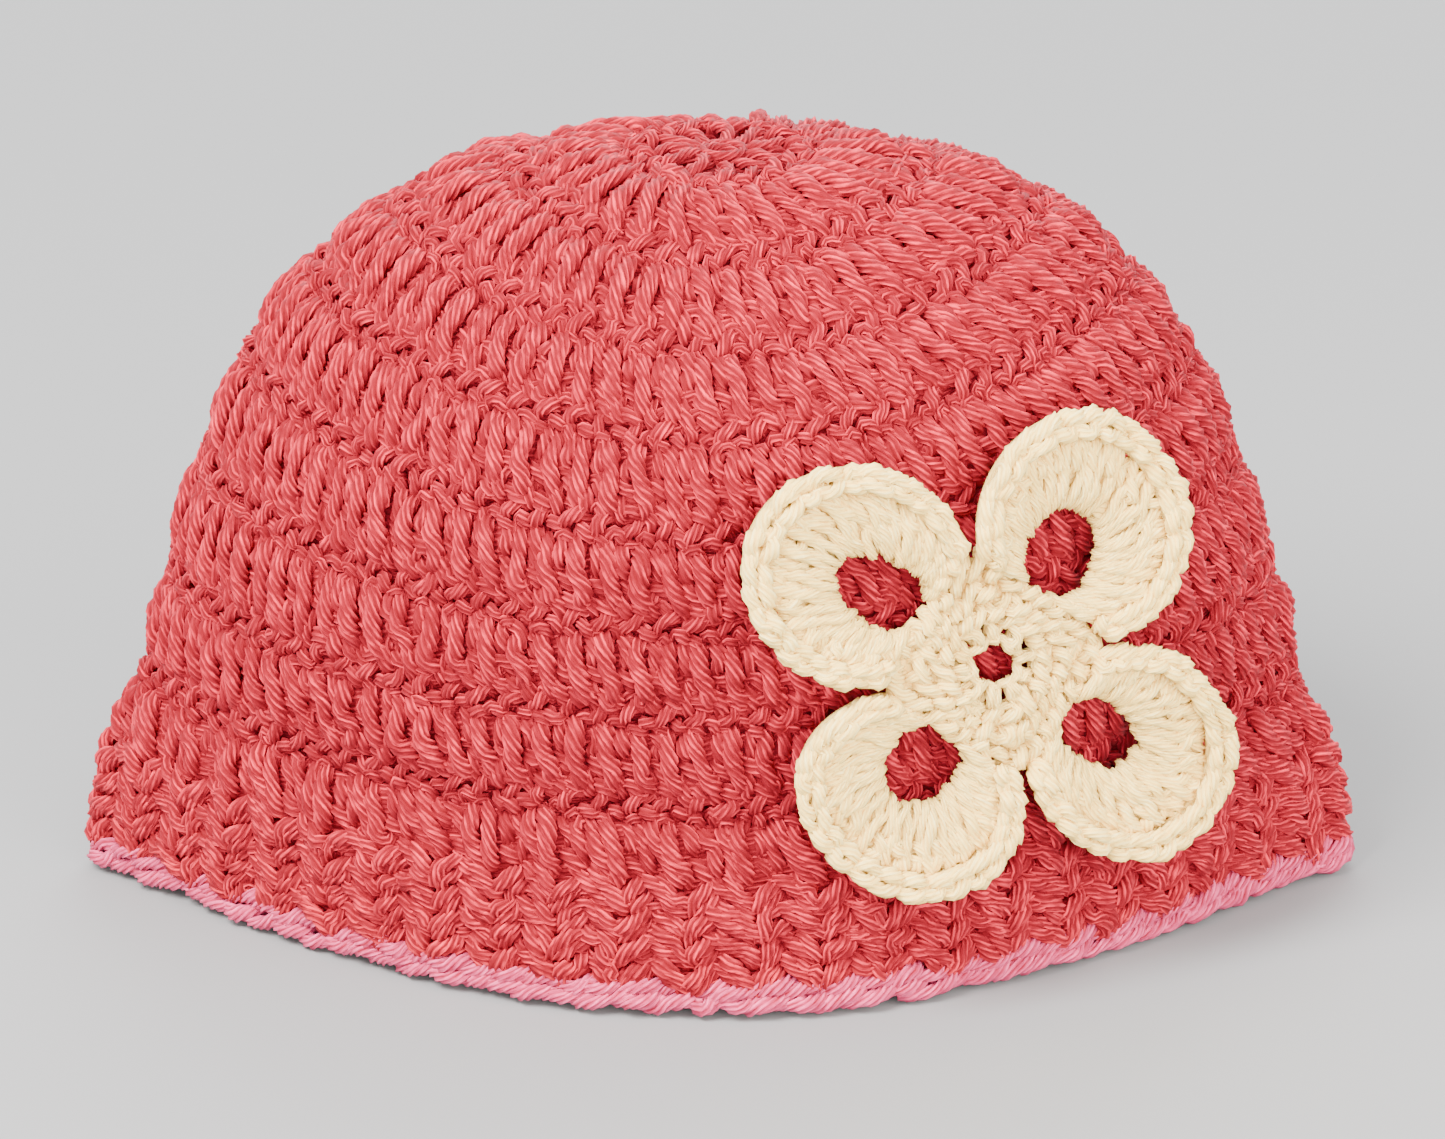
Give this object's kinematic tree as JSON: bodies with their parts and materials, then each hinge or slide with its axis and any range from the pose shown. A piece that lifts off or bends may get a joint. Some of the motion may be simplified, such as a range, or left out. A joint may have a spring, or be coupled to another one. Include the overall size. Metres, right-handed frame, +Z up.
{
  "type": "crocheted baby cap",
  "caption": "Close-fitting crocheted baby cap worked in rounds, with a ribbed brim and an open flower with hinged petals sewn on its front.",
  "frame": {"origin": "centre of the bounding box's bottom face, on the surface that the hem stands on", "axes": "+Z up to the crown, +X to the viewer's right along the width, -Y the front that carries the flower"},
  "size_m": [0.1804, 0.1169, 0.111],
  "materials": {
    "coral_yarn": "soft plied yarn, matte with a slight sheen",
    "cream_yarn": "soft plied yarn, matte with a slight sheen"
  },
  "bodies": {
    "cap": {"start_ring": "coral_yarn", "crown_round": "coral_yarn", "ridge_round_1": "coral_yarn", "ridge_round_2": "coral_yarn", "ridge_round_3": "coral_yarn", "ridge_round_4": "coral_yarn", "ridge_round_5": "coral_yarn", "ridge_round_6": "coral_yarn", "ridge_round_7": "coral_yarn", "ridge_round_8": "coral_yarn", "post_round_1": "coral_yarn", "post_round_2": "coral_yarn", "post_round_3": "coral_yarn", "post_round_4": "coral_yarn", "post_round_5": "coral_yarn", "post_round_6": "coral_yarn", "post_round_7": "coral_yarn", "brim_round_1": "coral_yarn", "brim_round_2": "coral_yarn", "brim_round_3": "coral_yarn", "hem_edge": "coral_yarn", "sewing_yarn": "cream_yarn", "flower_center": "cream_yarn"},
    "petal_upper_right": {"petal_upper_right": "cream_yarn", "edging_upper_right": "cream_yarn"},
    "petal_lower_right": {"petal_lower_right": "cream_yarn", "edging_lower_right": "cream_yarn"},
    "petal_lower_left": {"petal_lower_left": "cream_yarn", "edging_lower_left": "cream_yarn"},
    "petal_upper_left": {"petal_upper_left": "cream_yarn", "edging_upper_left": "cream_yarn"}
  },
  "joints": [
    {"name": "petal_upper_right_lift", "type": "hinge", "parent": "cap", "child": "petal_upper_right", "pos_m": [0.04419, -0.04137, 0.05997], "axis": [0.7164, 0.3183, -0.6208], "range_deg": [0, 50]},
    {"name": "petal_lower_right_lift", "type": "hinge", "parent": "cap", "child": "petal_lower_right", "pos_m": [0.04798, -0.0401, 0.04167], "axis": [-0.5413, -0.258, -0.8003], "range_deg": [0, 50]},
    {"name": "petal_lower_left_lift", "type": "hinge", "parent": "cap", "child": "petal_lower_left", "pos_m": [0.03121, -0.04764, 0.0413], "axis": [-0.7289, -0.304, 0.6134], "range_deg": [0, 50]},
    {"name": "petal_upper_left_lift", "type": "hinge", "parent": "cap", "child": "petal_upper_left", "pos_m": [0.02728, -0.04902, 0.05932], "axis": [0.5623, 0.2541, 0.7869], "range_deg": [0, 50]}
  ]
}
